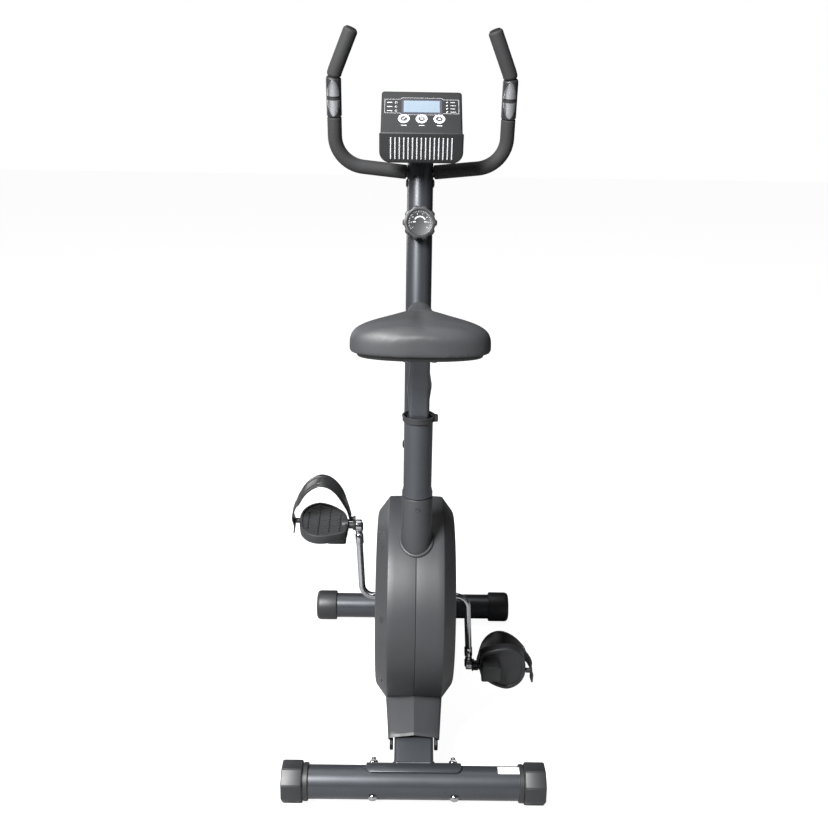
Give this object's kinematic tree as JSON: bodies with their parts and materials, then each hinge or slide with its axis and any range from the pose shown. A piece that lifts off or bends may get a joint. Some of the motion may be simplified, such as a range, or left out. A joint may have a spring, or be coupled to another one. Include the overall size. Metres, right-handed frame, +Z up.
{
  "type": "exercise bike",
  "caption": "Upright magnetic exercise bike: two cross feet, round housing with crank and pedals, height-adjustable saddle, leaning mast with U handlebar, console and tension knob.",
  "frame": {"origin": "on the floor, midway between the two feet, in the middle plane", "axes": "+X to the rider's right, +Y the way the rider faces, +Z up"},
  "size_m": [0.4952, 0.7855, 1.3825],
  "materials": {
    "frame_paint": "dark slate grey satin metallic powder coat",
    "black_paint": "black satin paint",
    "housing_plastic": "matte charcoal moulded plastic with a fine grain",
    "trim_plastic": "black moulded plastic",
    "foam_rubber": "matte black foam sleeve",
    "seat_cover": "matte dark grey soft moulded cover",
    "chrome": "bright chrome plate",
    "zinc_steel": "zinc-plated steel",
    "cast_iron": "turned cast iron",
    "belt_rubber": "black rubber",
    "silver_plate": "satin bright plate",
    "screen_glass": "grey-blue display under a clear window",
    "button_white": "white ring on black"
  },
  "bodies": {
    "frame": {"rear_foot_tube": "frame_paint", "front_foot_tube": "frame_paint", "lower_frame": "frame_paint", "crank_shell": "frame_paint", "seat_tube": "frame_paint", "mast_socket": "frame_paint", "mast": "frame_paint", "handlebar": "black_paint", "left_housing_shell": "housing_plastic", "right_housing_shell": "housing_plastic", "seat_tube_cover": "housing_plastic", "front_left_end_cap": "trim_plastic", "front_right_end_cap": "trim_plastic", "left_rear_shroud": "trim_plastic", "right_rear_shroud": "trim_plastic", "seat_post_sleeve": "trim_plastic", "tension_knob_base": "trim_plastic", "left_pulse_sensor": "trim_plastic", "right_pulse_sensor": "trim_plastic", "console_face": "trim_plastic", "console_back": "trim_plastic", "left_lower_foam": "foam_rubber", "left_upper_foam": "foam_rubber", "right_lower_foam": "foam_rubber", "right_upper_foam": "foam_rubber", "rear_left_foot_bolt": "chrome", "rear_right_foot_bolt": "chrome", "front_left_foot_bolt": "chrome", "front_right_foot_bolt": "chrome", "lower_mast_bolt": "chrome", "upper_mast_bolt": "chrome", "tension_cable": "belt_rubber", "drive_belt": "belt_rubber", "left_sensor_lower_plate": "silver_plate", "left_sensor_upper_plate": "silver_plate", "right_sensor_lower_plate": "silver_plate", "right_sensor_upper_plate": "silver_plate", "console_window": "screen_glass"},
    "rear_left_leveller": {"rear_left_levelling_cap": "trim_plastic"},
    "rear_right_leveller": {"rear_right_levelling_cap": "trim_plastic"},
    "left_wheel": {"left_transport_wheel": "trim_plastic"},
    "right_wheel": {"right_transport_wheel": "trim_plastic"},
    "flywheel": {"flywheel": "cast_iron"},
    "crank": {"crank": "chrome", "drive_pulley": "trim_plastic", "left_pedal_spindle": "black_paint", "right_pedal_spindle": "black_paint"},
    "left_pedal": {"left_pedal": "trim_plastic", "left_pedal_strap": "belt_rubber"},
    "right_pedal": {"right_pedal": "trim_plastic", "right_pedal_strap": "belt_rubber"},
    "seat": {"seat_post": "frame_paint", "seat_pan": "trim_plastic", "seat_cushion": "seat_cover"},
    "seat_lock": {"seat_lock_knob": "trim_plastic"},
    "tension_knob": {"tension_knob": "trim_plastic"},
    "magnet_bracket": {"magnet_bracket": "zinc_steel"},
    "left_button": {"left_console_button": "button_white"},
    "middle_button": {"middle_console_button": "button_white"},
    "right_button": {"right_console_button": "button_white"}
  },
  "joints": [
    {"name": "flywheel_spin", "type": "hinge", "parent": "frame", "child": "flywheel", "pos_m": [0, 0.11, 0.25], "axis": [-1, 0, 0], "continuous": true},
    {"name": "crank_spin", "type": "hinge", "parent": "frame", "child": "crank", "pos_m": [0, -0.08, 0.275], "axis": [-1, 0, 0], "continuous": true},
    {"name": "left_pedal_spin", "type": "hinge", "parent": "crank", "child": "left_pedal", "pos_m": [-0.114, -0.08, 0.427], "axis": [-1, 0, 0], "continuous": true},
    {"name": "right_pedal_spin", "type": "hinge", "parent": "crank", "child": "right_pedal", "pos_m": [0.114, -0.08, 0.123], "axis": [-1, 0, 0], "continuous": true},
    {"name": "seat_height", "type": "slide", "parent": "frame", "child": "seat", "axis": [0, -0.0652, 0.9979], "range_m": [-0.025, 0.1]},
    {"name": "seat_lock_pull", "type": "slide", "parent": "frame", "child": "seat_lock", "axis": [0, 0.9979, 0.0652], "range_m": [0, 0.01], "stiffness_N_per_m": 600, "springref_m": -0.004},
    {"name": "tension_knob_turn", "type": "hinge", "parent": "frame", "child": "tension_knob", "pos_m": [0, 0.18156, 0.99796], "axis": [0, -0.9847, 0.1742], "range_deg": [0, 270]},
    {"name": "magnet_bracket_swing", "type": "hinge", "parent": "frame", "child": "magnet_bracket", "pos_m": [-0.052, 0.15378, 0.12972], "axis": [-1, 0, 0], "range_deg": [0, 2.5]},
    {"name": "left_button_press", "type": "slide", "parent": "frame", "child": "left_button", "axis": [0, 0.7071, -0.7071], "range_m": [0, 0.0012], "stiffness_N_per_m": 200, "springref_m": -0.0006},
    {"name": "middle_button_press", "type": "slide", "parent": "frame", "child": "middle_button", "axis": [0, 0.7071, -0.7071], "range_m": [0, 0.0012], "stiffness_N_per_m": 200, "springref_m": -0.0006},
    {"name": "right_button_press", "type": "slide", "parent": "frame", "child": "right_button", "axis": [0, 0.7071, -0.7071], "range_m": [0, 0.0012], "stiffness_N_per_m": 200, "springref_m": -0.0006},
    {"name": "rear_left_levelling", "type": "hinge", "parent": "frame", "child": "rear_left_leveller", "pos_m": [-0.221, -0.357, 0.0355], "axis": [1, 0, 0], "range_deg": [-90, 90]},
    {"name": "left_wheel_roll", "type": "hinge", "parent": "frame", "child": "left_wheel", "pos_m": [-0.213, 0.3705, 0.026], "axis": [-1, 0, 0], "continuous": true},
    {"name": "rear_right_levelling", "type": "hinge", "parent": "frame", "child": "rear_right_leveller", "pos_m": [0.221, -0.357, 0.0355], "axis": [1, 0, 0], "range_deg": [-90, 90]},
    {"name": "right_wheel_roll", "type": "hinge", "parent": "frame", "child": "right_wheel", "pos_m": [0.213, 0.3705, 0.026], "axis": [-1, 0, 0], "continuous": true}
  ],
  "couplings": [
    {"joint": "flywheel_spin", "follows": "crank_spin", "ratio": 6},
    {"joint": "magnet_bracket_swing", "follows": "tension_knob_turn", "ratio": 0.009259}
  ]
}
